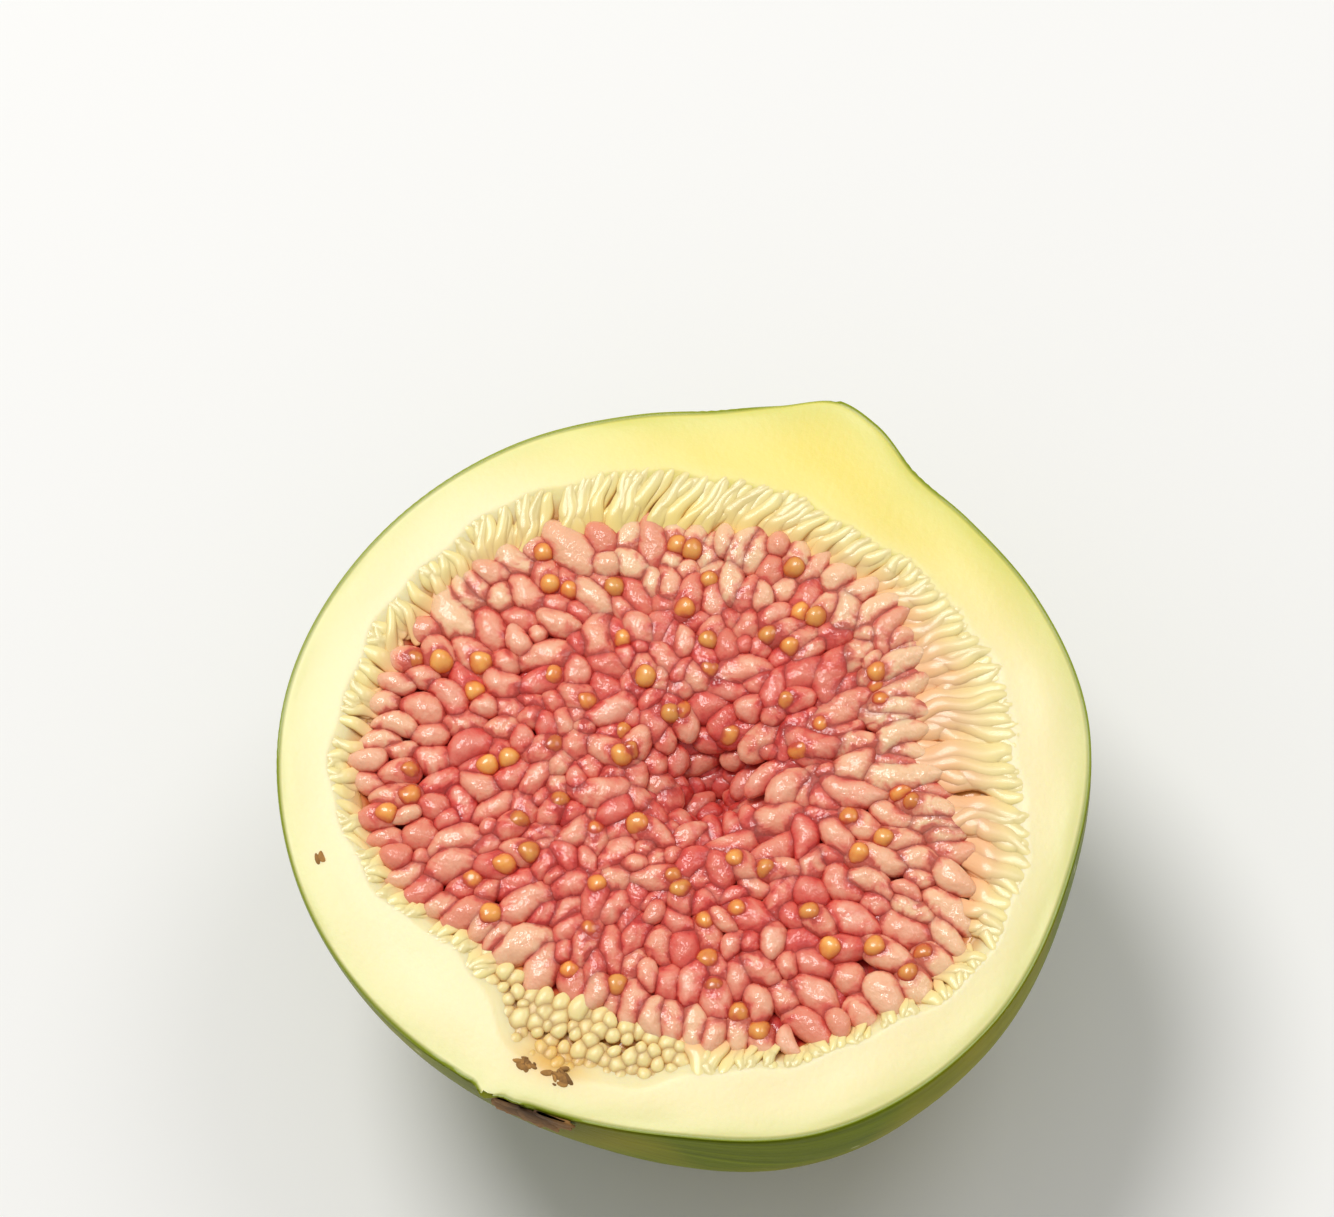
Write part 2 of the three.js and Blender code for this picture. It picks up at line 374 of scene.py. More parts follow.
def skin_material(colours):
    """Fig skin: thin and waxy, with paler streaks from stem to eye, ripe patches and pale dots."""
    material, tree = new_material("Fig skin")
    around, along, eye, stem = (
        add_node(tree, "ShaderNodeAttribute", out="Fac", attribute_name=name)
        for name in ("around_mm", "along_mm", "eye_near", "stem_near")
    )
    place = add_node(tree, "ShaderNodeCombineXYZ", {"X": around, "Y": along})
    streak_place = add_node(tree, "ShaderNodeMapping", {"Vector": place, "Scale": (1 / 1.6, 1 / 16, 1)})
    streak = add_node(
        tree,
        "ShaderNodeTexNoise",
        {"Vector": streak_place, "Scale": 1.0, "Detail": 4.0, "Roughness": 0.6},
    )
    streak_share = add_node(
        tree, "ShaderNodeValToRGB", {"Fac": streak}, stops=[(0.38, grey(0)), (0.72, grey(1))]
    )
    spot = add_node(tree, "ShaderNodeTexCoord", out="Object")
    patch = add_node(tree, "ShaderNodeTexNoise", {"Vector": spot, "Scale": 1 / (14 * MM), "Detail": 2.0})
    patch_share = add_node(
        tree, "ShaderNodeValToRGB", {"Fac": patch}, stops=[(0.45, grey(0)), (0.7, grey(0.7))]
    )
    dot_cell = add_node(tree, "ShaderNodeTexVoronoi", {"Vector": spot, "Scale": 1 / (4.2 * MM)})
    dot_share = add_node(
        tree, "ShaderNodeValToRGB", {"Fac": dot_cell}, stops=[(0.05, grey(0.75)), (0.1, grey(0))]
    )
    colour = colours.skin
    layers = (
        (streak_share, colours.skin_streak),
        (patch_share, colours.skin_ripe),
        (eye, colours.skin_dark),
        (stem, colours.stem),
        (dot_share, colours.dot),
    )
    for share, over in layers:
        colour = add_node(tree, "ShaderNodeMix", {0: share, 6: colour, 7: over}, data_type="RGBA")
    pore = add_node(tree, "ShaderNodeTexNoise", {"Vector": spot, "Scale": 1 / (0.7 * MM), "Detail": 3.0})
    relief = add_node(tree, "ShaderNodeMath", {0: pore, 1: streak}, operation="ADD")
    raised = add_node(
        tree, "ShaderNodeBump", {"Height": relief, "Strength": 0.35, "Distance": 0.12 * MM}
    )
    finish_material(tree, {
        "Base Color": colour,
        "Normal": raised,
        "Roughness": 0.45,
        "Specular IOR Level": 0.08,
        "IOR": 1.45,
        "Subsurface Weight": 0.12,
        "Subsurface Radius": (1.0, 1.0, 0.3),
        "Subsurface Scale": 0.8 * MM,
    })
    return material


def flesh_material(colours):
    """Fig flesh: moist and slightly see-through, green under the skin and cream further in, with brown
    painted shade where it dips under the stalks.
    """
    material, tree = new_material("Fig flesh")
    depth, stem, dip, glow = (
        add_node(tree, "ShaderNodeAttribute", out="Fac", attribute_name=name)
        for name in ("skin_depth_mm", "stem_side", "dip", "eye_glow")
    )
    spot = add_node(tree, "ShaderNodeTexCoord", out="Object")
    mottle = add_node(
        tree,
        "ShaderNodeTexNoise",
        {"Vector": spot, "Scale": 1 / (1.6 * MM), "Detail": 4.0, "Roughness": 0.6},
    )
    shift = add_node(tree, "ShaderNodeMath", {0: mottle, 1: 0.9, 2: -0.45}, operation="MULTIPLY_ADD")
    depth_here = add_node(tree, "ShaderNodeMath", {0: depth, 1: shift}, operation="ADD")
    share = add_node(tree, "ShaderNodeMath", {0: depth_here, 1: 0.2}, operation="MULTIPLY")
    rind_share = add_node(
        tree,
        "ShaderNodeValToRGB",
        {"Fac": share},
        stops=[(0.03, grey(0.3)), (0.1, grey(0.5)), (0.36, grey(0.22)), (0.7, grey(0))],
    )
    edge_share = add_node(
        tree, "ShaderNodeValToRGB", {"Fac": depth}, stops=[(0.12, grey(1)), (0.38, grey(0))]
    )
    # Painted shade: brown where the flesh dips under the stalks.
    dip_shade_share = add_node(
        tree, "ShaderNodeMapRange", {"Value": dip, "From Min": 0.35, "From Max": 1.0, "To Max": 0.9}
    )
    colour = colours.flesh
    layers = (
        (stem, colours.flesh_stem),
        (rind_share, colours.rind),
        (edge_share, colours.skin_streak),
        (glow, colours.eye_stain),
        (dip_shade_share, colours.crease_shade),
    )
    for share, over in layers:
        colour = add_node(tree, "ShaderNodeMix", {0: share, 6: colour, 7: over}, data_type="RGBA")
    fibre = add_node(
        tree, "ShaderNodeTexNoise", {"Vector": spot, "Scale": 1 / (0.45 * MM), "Detail": 3.0}
    )
    raised = add_node(tree, "ShaderNodeBump", {"Height": fibre, "Strength": 0.25, "Distance": 0.08 * MM})
    finish_material(tree, {
        "Base Color": colour,
        "Normal": raised,
        "Roughness": 0.38,
        "IOR": 1.38,
        "Subsurface Weight": 0.35,
        "Subsurface Radius": (1.0, 0.8, 0.4),
        "Subsurface Scale": 1.2 * MM,
        "Coat Weight": 0.15,
        "Coat Roughness": 0.2,
    })
    return material


def sac_material(colours):
    """Floret sac: a wet, see-through skin over red juice, pale on top, partly as painted light, with
    painted shade in crimson where sacs meet and in the hollow.
    """
    material, tree = new_material("Fig sac, wet")
    gap, pale, tint, sunk = (
        add_node(tree, "ShaderNodeAttribute", out="Fac", attribute_name=name)
        for name in ("gap", "pale", "tint", "sunk")
    )
    spot = add_node(tree, "ShaderNodeTexCoord", out="Object")
    vein = add_node(
        tree,
        "ShaderNodeTexNoise",
        {
            "Vector": spot,
            "Scale": 1 / (1.3 * MM),
            "Detail": 2.5,
            "Roughness": 0.5,
            "Distortion": 1.0,
        },
    )
    shift = add_node(tree, "ShaderNodeMath", {0: vein, 1: 1.3, 2: -0.66}, operation="MULTIPLY_ADD")
    # Painted shade and light: the colour runs by the gap to the next blob, crimson where sacs meet and
    # pale on the open top.
    capped = add_node(tree, "ShaderNodeMath", {0: gap, 1: 0.75}, operation="MINIMUM")
    clear = add_node(tree, "ShaderNodeMath", {0: capped, 1: shift}, operation="ADD")
    body = add_node(
        tree,
        "ShaderNodeValToRGB",
        {"Fac": clear},
        stops=[
            (0.0, colours.crevice_crimson_and_shade),
            (0.1, colours.sac_red),
            (0.34, colours.sac),
            (0.8, colours.sac_pale_and_lit),
        ],
    )
    open_share = add_node(
        tree,
        "ShaderNodeMapRange",
        {"Value": clear, "From Min": 0.0, "From Max": 0.4, "To Min": 0.2, "To Max": 1.0},
    )
    pale_share = add_node(tree, "ShaderNodeMath", {0: open_share, 1: pale}, operation="MULTIPLY")
    red_share = add_node(
        tree, "ShaderNodeMapRange", {"Value": tint, "From Min": 0.6, "From Max": 1.0, "To Max": 0.6}
    )
    colour = body
    layers = (
        (pale_share, colours.sac_peach),
        (red_share, colours.sac_red),
        # Painted shade: sacs deep in the hollow and the lower sacs turn crimson.
        (sunk, colours.crevice_crimson_and_shade),
    )
    for share, over in layers:
        colour = add_node(tree, "ShaderNodeMix", {0: share, 6: colour, 7: over}, data_type="RGBA")
    crumple = add_node(
        tree, "ShaderNodeTexNoise", {"Vector": spot, "Scale": 1 / (0.6 * MM), "Detail": 3.0}
    )
    raised = add_node(
        tree, "ShaderNodeBump", {"Height": crumple, "Strength": 0.6, "Distance": 0.25 * MM}
    )
    finish_material(tree, {
        "Base Color": colour,
        "Normal": raised,
        "Coat Normal": raised,
        "Roughness": 0.45,
        "IOR": 1.38,
        "Subsurface Weight": 0.4,
        "Subsurface Radius": (1.0, 0.7, 0.6),
        "Subsurface Scale": 0.6 * MM,
        "Coat Weight": 0.65,
        "Coat Roughness": 0.08,
    })
    return material


def stalk_material(colours):
    """Floret stalk: pale and moist, cream at its root in the flesh and peach at its end, with brown
    painted shade on its lower sides.
    """
    material, tree = new_material("Fig stalk")
    along = add_node(tree, "ShaderNodeAttribute", out="Fac", attribute_name="run")
    rise = add_node(tree, "ShaderNodeAttribute", out="Fac", attribute_name="rise")
    stem = add_node(tree, "ShaderNodeAttribute", out="Fac", attribute_name="at_stem")
    end = add_node(
        tree, "ShaderNodeMix", {0: stem, 6: colours.stalk_tip, 7: colours.stalk_stem}, data_type="RGBA"
    )
    body = add_node(tree, "ShaderNodeMix", {0: along, 6: colours.stalk, 7: end}, data_type="RGBA")
    # Painted shade: the lower sides of each stalk turn brown, so dark lines run between the stalks.
    low = add_node(tree, "ShaderNodeValToRGB", {"Fac": rise}, stops=[(0.35, grey(0.8)), (0.75, grey(0))])
    shaded = add_node(tree, "ShaderNodeMix", {0: low, 6: body, 7: colours.crease_shade}, data_type="RGBA")
    finish_material(tree, {
        "Base Color": shaded,
        "Roughness": 0.34,
        "IOR": 1.38,
        "Subsurface Weight": 0.2,
        "Subsurface Radius": (1.0, 0.9, 0.7),
        "Subsurface Scale": 0.4 * MM,
        "Coat Weight": 0.3,
        "Coat Roughness": 0.12,
    })
    return material


def ground_material(colours):
    """The ground between the florets: crimson juice with painted shade in the middle, brown painted shade
    between the stalks.
    """
    material, tree = new_material("Fig pulp ground")
    red = add_node(tree, "ShaderNodeAttribute", out="Fac", attribute_name="red")
    spot = add_node(tree, "ShaderNodeTexCoord", out="Object")
    mottle = add_node(
        tree, "ShaderNodeTexNoise", {"Vector": spot, "Scale": 1 / (1.2 * MM), "Detail": 3.0}
    )
    # Painted shade: crimson among the sacs and brown between the stalks.
    share = add_node(tree, "ShaderNodeMath", {0: mottle, 1: red, 2: red}, operation="MULTIPLY_ADD")
    ground = add_node(
        tree, "ShaderNodeMix", {0: share, 6: colours.crease_shade, 7: colours.crevice_crimson_and_shade}, data_type="RGBA"
    )
    finish_material(tree, {
        "Base Color": ground,
        "Roughness": 0.3,
        "IOR": 1.36,
        "Coat Weight": 0.5,
        "Coat Roughness": 0.08,
    })
    return material


def grain_material(colours):
    """Grains inside the eye: small and pale yellow with brown painted shade in the seams, orange towards
    the eye itself.
    """
    material, tree = new_material("Fig eye grain")
    # On the grains this value holds only how near the eye they are, for their orange.
    near = add_node(tree, "ShaderNodeAttribute", out="Fac", attribute_name="sunk")
    gap = add_node(tree, "ShaderNodeAttribute", out="Fac", attribute_name="gap")
    body = add_node(
        tree, "ShaderNodeMix", {0: near, 6: colours.grain, 7: colours.grain_eye}, data_type="RGBA"
    )
    # Painted shade: brown where a grain meets its neighbours.
    seam_shade = add_node(
        tree,
        "ShaderNodeMapRange",
        {"Value": gap, "From Min": 0.0, "From Max": 0.25, "To Min": 0.6, "To Max": 0.0},
    )
    shaded = add_node(tree, "ShaderNodeMix", {0: seam_shade, 6: body, 7: colours.crease_shade}, data_type="RGBA")
    finish_material(tree, {
        "Base Color": shaded,
        "Roughness": 0.4,
        "IOR": 1.4,
        "Subsurface Weight": 0.3,
        "Subsurface Radius": (1.0, 0.7, 0.3),
        "Subsurface Scale": 0.5 * MM,
        "Coat Weight": 0.2,
        "Coat Roughness": 0.15,
    })
    return material


def seed_material(colours):
    """Fig seed: a hard golden shell under a film of juice, redder where it sits in the pulp, with painted
    shade on its sides and painted light on its top.
    """
    material, tree = new_material("Fig seed")
    gap = add_node(tree, "ShaderNodeAttribute", out="Fac", attribute_name="gap")
    tint = add_node(tree, "ShaderNodeAttribute", out="Fac", attribute_name="tint")
    spot = add_node(tree, "ShaderNodeTexCoord", out="Object")
    grainy = add_node(
        tree, "ShaderNodeTexNoise", {"Vector": spot, "Scale": 1 / (0.7 * MM), "Detail": 3.0}
    )
    shift = add_node(tree, "ShaderNodeMath", {0: grainy, 1: 0.5, 2: -0.25}, operation="MULTIPLY_ADD")
    clear = add_node(tree, "ShaderNodeMath", {0: gap, 1: shift}, operation="ADD")
    # Painted light and shade: by the gap to the sacs, a seed is red at its foot in the juice, darker
    # orange on its sides and pale on top.
    body = add_node(
        tree,
        "ShaderNodeValToRGB",
        {"Fac": clear},
        stops=[
            (0.0, colours.seed_foot),
            (0.12, colours.seed_shaded_rim),
            (0.35, colours.seed),
            (0.8, colours.seed_lit_middle),
        ],
    )
    bright = add_node(tree, "ShaderNodeMapRange", {"Value": tint, "To Min": 0.88, "To Max": 1.12})
    toned = add_node(tree, "ShaderNodeHueSaturation", {"Color": body, "Value": bright})
    finish_material(tree, {
        "Base Color": toned,
        "Roughness": 0.3,
        "IOR": 1.45,
        "Subsurface Weight": 0.25,
        "Subsurface Radius": (1.0, 0.5, 0.2),
        "Subsurface Scale": 0.4 * MM,
        "Coat Weight": 0.6,
        "Coat Roughness": 0.08,
    })
    return material


def scale_material(colours):
    """Eye scale: dry and papery, dark brown with paler torn edges."""
    material, tree = new_material("Fig eye scale, dry")
    rim = add_node(tree, "ShaderNodeAttribute", out="Fac", attribute_name="rim")
    spot = add_node(tree, "ShaderNodeTexCoord", out="Object")
    fibre = add_node(
        tree, "ShaderNodeTexNoise", {"Vector": spot, "Scale": 1 / (0.4 * MM), "Detail": 4.0}
    )
    share = add_node(tree, "ShaderNodeMath", {0: rim, 1: fibre}, operation="MULTIPLY")
    body = add_node(
        tree, "ShaderNodeMix", {0: share, 6: colours.scale, 7: colours.scale_rim}, data_type="RGBA"
    )
    raised = add_node(tree, "ShaderNodeBump", {"Height": fibre, "Strength": 0.6, "Distance": 0.1 * MM})
    finish_material(tree, {
        "Base Color": body,
        "Normal": raised,
        "Roughness": 0.8,
        "IOR": 1.45,
    })
    return material


# Wall: skin outside, flesh on the cut face, and the cavity that holds the pulp

WALL_COLUMNS = 480
SKIN_ROWS = 72
FACE_ROWS = 34
CAVITY_ROWS = 10
RIB_HEIGHT = 0.13  # millimetres
LIP_DROP = 0.7  # millimetres that the flesh dips under the stalks


def half_widths(size):
    """Half the fig's width on its right and on its left, by distance along its axis."""
    angle = np.linspace(-math.pi / 2, math.pi / 2, 361)
    right = face_edge(size, angle)
    left = face_edge(size, math.pi - angle)
    return (
        lambda y: np.interp(y, right * np.sin(angle), right * np.cos(angle)),
        lambda y: np.interp(y, left * np.sin(angle), left * np.cos(angle)),
    )


def skin_rings(size, angle):
    """The outside, from the middle of the underside up to the cut."""
    right, left = half_widths(size)
    edge = face_edge(size, angle)
    drop = np.linspace(math.pi / 2, 0, SKIN_ROWS + 1)[1:, None]
    x = edge * np.cos(angle) * np.cos(drop)
    y = edge * np.sin(angle) * np.cos(drop)
    side = smooth_step(-1, 1, x / np.maximum(0.5 * (right(y) + left(y)), 1e-3))
    half = left(y) + (right(y) - left(y)) * side
    depth = np.sqrt(np.maximum(half**2 - x**2, 0))
    round_fig = np.arctan2(x, depth + 1e-6)
    ribs = np.cos(13 * round_fig + 0.4) + 0.7 * np.cos(21 * round_fig + 2) + 0.4 * np.cos(34 * round_fig)
    lumps = np.sin(0.21 * x + 0.13 * y + 1) * np.sin(0.17 * y - 0.1 * x)
    swell = (RIB_HEIGHT * ribs + 0.25 * lumps) * np.sin(drop) / size.half_width
    x = x * (1 + swell)
    depth = depth * (1 + swell)
    flattening = 0.15
    rest = size.cut_height
    depth = rest - flattening * np.logaddexp(0, (rest - depth) / flattening)
    return np.stack([x, y, -depth], axis=-1), round_fig


def flesh_lip(size, angle):
    """How far the flesh runs in under the stalks."""
    return 0.8 + 0.4 * (pulp_edge(size, angle) - sac_edge(size, angle))


def face_rings(size, angle):
    """The cut face, from the skin's edge in to where it dips under the pulp."""
    edge = face_edge(size, angle)
    outer = np.stack([edge * np.cos(angle), edge * np.sin(angle)], axis=-1)
    lip = flesh_lip(size, angle)
    inner = pulp_edge(size, angle) - lip
    inside = np.stack([inner * np.cos(angle), size.pulp_y + inner * np.sin(angle)], axis=-1)
    share = np.linspace(0, 1, FACE_ROWS + 1)[1:, None] ** 1.15
    flat = outer + (inside - outer) * share[..., None]
    width = np.linalg.norm(inside - outer, axis=-1)
    from_skin = width * share
    from_pulp = width * (1 - share)
    calm = smooth_step(0.5, 3, from_pulp - lip)
    wave = np.sin(0.5 * flat[..., 0] + 1) * np.sin(0.43 * flat[..., 1]) * calm
    skin_curl = -0.1 * np.exp(-from_skin / 0.2)
    dip = 1 - smooth_step(0, 1, from_pulp / (lip + 0.3))
    z = skin_curl + 0.06 * wave * smooth_step(0, 1, from_skin) - LIP_DROP * dip
    return np.concatenate([flat, z[..., None]], axis=-1), from_skin, dip


def cavity_rings(size, angle):
    """The inside of the wall, under the pulp."""
    inner = pulp_edge(size, angle) - flesh_lip(size, angle)
    drop = np.linspace(0, math.pi / 2, CAVITY_ROWS + 2)[1:-1, None]
    x = inner * np.cos(angle) * np.cos(drop)
    y = size.pulp_y + inner * np.sin(angle) * np.cos(drop)
    z = -LIP_DROP - (size.pulp_across - 0.6) * np.sin(drop) + 0 * angle
    return np.stack([x, y, z], axis=-1)


def build_wall(size, colours):
    angle = np.linspace(0, 2 * math.pi, WALL_COLUMNS, endpoint=False)
    skin, round_fig = skin_rings(size, angle)
    face, from_skin, dip = face_rings(size, angle)
    cavity = cavity_rings(size, angle)
    rings = np.concatenate([skin, face, cavity])
    x, y, z = np.moveaxis(rings, -1, 0)
    blank = np.zeros((FACE_ROWS + CAVITY_ROWS, WALL_COLUMNS))
    deep = np.full(cavity.shape[:2], from_skin.max())
    eye_gap = np.sqrt(x**2 + z**2 + (y + size.half_width) ** 2)
    stem_gap = np.sqrt(x**2 + z**2 + (y - size.half_width) ** 2)
    shell = Gathered()
    shell.add(
        rings,
        around_mm=np.concatenate([round_fig * size.half_width, blank]),
        along_mm=y,
        skin_depth_mm=np.concatenate([np.zeros(skin.shape[:2]), from_skin, deep]),
        eye_near=0.7 * (1 - smooth_step(1, 9, eye_gap)),
        stem_near=0.8 * (1 - smooth_step(1.2, 4.5, stem_gap)),
        stem_side=smooth_step(10, 22, y),
        eye_glow=np.exp(-(((x - 0.3) / 2.2) ** 2) - ((y + 22.6) / 1.2) ** 2),
        # dip: how far the flesh dips under the stalks, which its material paints with brown shade.
        dip=np.concatenate([np.zeros(skin.shape[:2]), dip, np.ones(cavity.shape[:2])]),
    )
    quad_rows = len(rings) - 1
    kinds = np.ones((quad_rows, WALL_COLUMNS), int)
    kinds[: SKIN_ROWS - 1] = 0
    fans = np.concatenate([np.zeros(WALL_COLUMNS, int), np.ones(WALL_COLUMNS, int)])
    return make_piece(
        "fig_skin_and_flesh",
        shell,
        size,
        [skin_material(colours), flesh_material(colours)],
        "fig_wall",
        np.concatenate([kinds.ravel(), fans]),
    )


# Pulp

# Millimetres: the small open middle of the fruit, and how far its sacs and its ground lie below the cut
HOLLOW = (2.4, -1.0)
HOLLOW_RADIUS = 3.1
HOLLOW_DEPTH = 3.8
HOLLOW_GROUND = 2.4
EGG = 0.2  # how much broader the inner end of a sac is
PACKING_ROUNDS = 60
STALK_ROOT = 1.4  # millimetres of each stalk that stay inside the flesh
STALK_LAYERS = (0.0, 0.06, 0.2)  # millimetres that each layer of stalks lies below the cut
EYE_ANGLE = -1.52  # direction of the eye from the pulp's middle


def hollow_depth(x, y, depth):
    away = np.hypot(x - HOLLOW[0], y - HOLLOW[1]) / HOLLOW_RADIUS
    return depth * np.exp(-(away**2))


def dome_rings(rows, columns, lowest):
    """Points of a unit sphere from its top down to an angle from the top."""
    down = np.linspace(0, lowest, rows + 1)[1:, None]
    turn = np.linspace(0, 2 * math.pi, columns, endpoint=False)
    return np.stack(
        [np.sin(down) * np.cos(turn), np.sin(down) * np.sin(turn), np.cos(down) + 0 * turn], axis=-1
    )


def blob_level(blob, x, y, z):
    """1 on a blob's surface, less inside it. A blob is a bent egg with a heading, lying level."""
    dx, dy = x - blob.x, y - blob.y
    u = dx * math.cos(blob.heading) + dy * math.sin(blob.heading)
    v = dy * math.cos(blob.heading) - dx * math.sin(blob.heading) - blob.bend * u**2
    wide = blob.wide * (1 + EGG * np.clip(u / blob.long, -1, 1))
    w = z - blob.top + blob.deep
    return np.sqrt((u / blob.long) ** 2 + (v / wide) ** 2 + (w / blob.deep) ** 2)


def new_blob(**given):
    """A blob from what is given: unless that says otherwise, straight, red and no seed."""
    return SimpleNamespace(**{"bend": 0.0, "pale": 0.0, "seed": False, **given})


def blob_rings(blob, unit):
    ux, uy, uz = np.moveaxis(unit, -1, 0)
    u = blob.long * ux
    v = blob.wide * (1 + EGG * ux) * uy + blob.bend * u**2
    lumpy = 1 + 0.1 * np.sin(2.3 * u + blob.phase) * np.sin(2.9 * v + 2 * blob.phase)
    x = blob.x + u * math.cos(blob.heading) - v * math.sin(blob.heading)
    y = blob.y + u * math.sin(blob.heading) + v * math.cos(blob.heading)
    z = blob.top - blob.deep + blob.deep * uz * lumpy
    return np.stack([x, y, z], axis=-1)


def add_blobs(shell, blobs, unit, others):
    """Adds blobs with the gap, in millimetres, between each point and the nearest other blob."""
    centres = np.array([(o.x, o.y) for o in others])
    reach = np.array([o.long for o in others])
    for blob in blobs:
        rings = blob_rings(blob, unit)
        gap = np.full(rings.shape[:2], 3.0)
        away = np.hypot(centres[:, 0] - blob.x, centres[:, 1] - blob.y)
        for i in np.flatnonzero(away < reach + blob.long + 0.8):
            if others[i] is not blob:
                level = blob_level(others[i], rings[..., 0], rings[..., 1], rings[..., 2])
                gap = np.minimum(gap, (level - 1) * others[i].wide)
        shell.add(rings, gap=gap, pale=blob.pale, tint=blob.tint, sunk=blob.sunk)


def packed_blobs(size, rng):
    """Sacs and seeds over the red middle: a sunflower spiral, shaken and then pushed apart."""
    count = size.sac_count
    i = np.arange(count)
    share = np.sqrt((i + 0.5) / count)
    angle = i * GOLDEN_ANGLE
    place = (sac_edge(size, angle) * share)[:, None] * np.stack([np.cos(angle), np.sin(angle)], axis=-1)
    place += rng.normal(0, 0.5, (count, 2))
    holds_seed = i % size.seed_every == size.seed_every - 1
    fringed = bump(angle, 0.42, 0.55) * smooth_step(0.5, 0.85, share)
    wide = np.clip(rng.normal(size.sac, 0.2 * size.sac, count), 0.65 * size.sac, 1.45 * size.sac)
    wide = np.where(holds_seed, np.maximum(wide, 1.2 * size.seed), wide)
    long = wide * (rng.uniform(1.05, 2.1, count) + 0.9 * fringed)
    long = np.where(holds_seed, np.maximum(long, 1.45 * wide), long)
    loose = 0.2 + 1.1 * (1 - share) * (1 - fringed)
    heading = angle + math.pi + rng.normal(0, 1, count) * loose
    for _ in range(PACKING_ROUNDS):
        gap = place[:, None] - place[None]
        far = np.linalg.norm(gap, axis=-1) + np.eye(count)
        toward = np.arctan2(gap[..., 1], gap[..., 0])
        off = toward - heading[:, None]
        reach = 1 / np.hypot(np.cos(off) / long[:, None], np.sin(off) / wide[:, None])
        push = np.maximum(0.9 * (reach + reach.T) - far, 0) * (1 - np.eye(count))
        place = place + 0.22 * (push[..., None] * gap / far[..., None]).sum(axis=1)
        turn = np.arctan2(place[:, 1], place[:, 0])
        room = sac_edge(size, turn) - 0.5 * long
        place *= np.minimum(1, room / np.maximum(np.linalg.norm(place, axis=-1), 1e-6))[:, None]
    blobs = []
    for n in range(count):
        x, y = place[n, 0], place[n, 1] + size.pulp_y
        turn = math.atan2(place[n, 1], place[n, 0])
        out = np.linalg.norm(place[n]) / float(sac_edge(size, np.array(turn)))
        sink = float(hollow_depth(x, y, HOLLOW_DEPTH))
        near_edge = float(smooth_step(0.45, 0.95, out))
        pale = 0.15 + near_edge * float(bump(turn, 0.35, 0.6) + 0.7 * bump(turn, 1.95, 0.8))
        pale += 0.45 * float(smooth_step(0.75, 0.95, out)) + rng.uniform(-0.2, 0.3)
        sac = new_blob(
            x=x,
            y=y,
            heading=heading[n],
            long=long[n],
            wide=wide[n],
            deep=wide[n] * 0.7,
            bend=0.0 if holds_seed[n] else rng.uniform(-0.22, 0.22) / wide[n],
            top=rng.uniform(-0.25, 0.15) - sink,
            pale=min(max(pale, 0), 1),
            tint=rng.random(),
            # Painted shade: the deeper a sac lies in the hollow, the more crimson it turns.
            sunk=min(sink / HOLLOW_DEPTH, 1) * 0.9,
            phase=rng.uniform(0, 2 * math.pi),
        )
        blobs.append(sac)
        if holds_seed[n]:
            across = size.seed * rng.uniform(0.82, 0.96)
            inward = 0.38 * sac.long
            seed = new_blob(**vars(sac))
            seed.x = sac.x + inward * math.cos(sac.heading)
            seed.y = sac.y + inward * math.sin(sac.heading)
            seed.wide = across
            seed.long = across * rng.uniform(1.02, 1.18)
            seed.deep = across * 0.9
            seed.top = sac.top + rng.uniform(0.04, 0.3)
            seed.seed = True
            blobs.append(seed)
    return blobs


def low_blobs(size, rng):
    """Lower sacs that show between those on top, darker with painted shade."""
    blobs = []
    for n in range(size.low_sac_count):
        angle = n * GOLDEN_ANGLE
        share = math.sqrt((n + 0.5) / size.low_sac_count)
        away = float(sac_edge(size, np.array(angle))) * share - 0.3
        wide = size.sac * rng.uniform(1.0, 1.4)
        x, y = away * math.cos(angle), size.pulp_y + away * math.sin(angle)
        blobs.append(
            new_blob(
                x=x,
                y=y,
                heading=rng.uniform(0, 2 * math.pi),
                long=wide * rng.uniform(1, 1.5),
                wide=wide,
                deep=wide,
                top=rng.uniform(-1.0, -0.6) - float(hollow_depth(x, y, HOLLOW_GROUND)),
                tint=rng.random(),
                # Painted shade: these lower sacs are darker crimson.
                sunk=0.6,
                phase=rng.uniform(0, 2 * math.pi),
            )
        )
    return blobs


def build_ground(size, colours):
    """The ground that the florets stand on, closed underneath."""
    columns, top_rows, under_rows = 200, 44, 8
    angle = np.linspace(0, 2 * math.pi, columns, endpoint=False)
    edge = pulp_edge(size, angle) - 0.6
    share = np.linspace(0, 1, top_rows + 1)[1:, None]
    x = edge * np.cos(angle) * share
    y = size.pulp_y + edge * np.sin(angle) * share
    red = 1 - smooth_step(-1.4, 0.6, share * edge - sac_edge(size, angle))
    rough = 0.12 * np.sin(2.1 * x) * np.sin(1.9 * y + 1)
    z = -0.75 - 0.75 * red - hollow_depth(x, y, HOLLOW_GROUND) + rough * smooth_step(0, 0.1, 1 - share)
    top = np.stack([x, y, z], axis=-1)
    drop = np.linspace(0, math.pi / 2, under_rows + 2)[1:-1, None]
    under = np.stack(
        [
            edge * np.cos(angle) * np.cos(drop),
            size.pulp_y + edge * np.sin(angle) * np.cos(drop),
            -0.85 - (size.pulp_across - 2.2) * np.sin(drop) + 0 * angle,
        ],
        axis=-1,
    )
    shell = Gathered()
    shell.add(np.concatenate([top, under]), red=np.concatenate([red, np.zeros((under_rows, columns))]))
    return make_piece("fig_pulp_ground", shell, size, [ground_material(colours)], "fig_pulp")


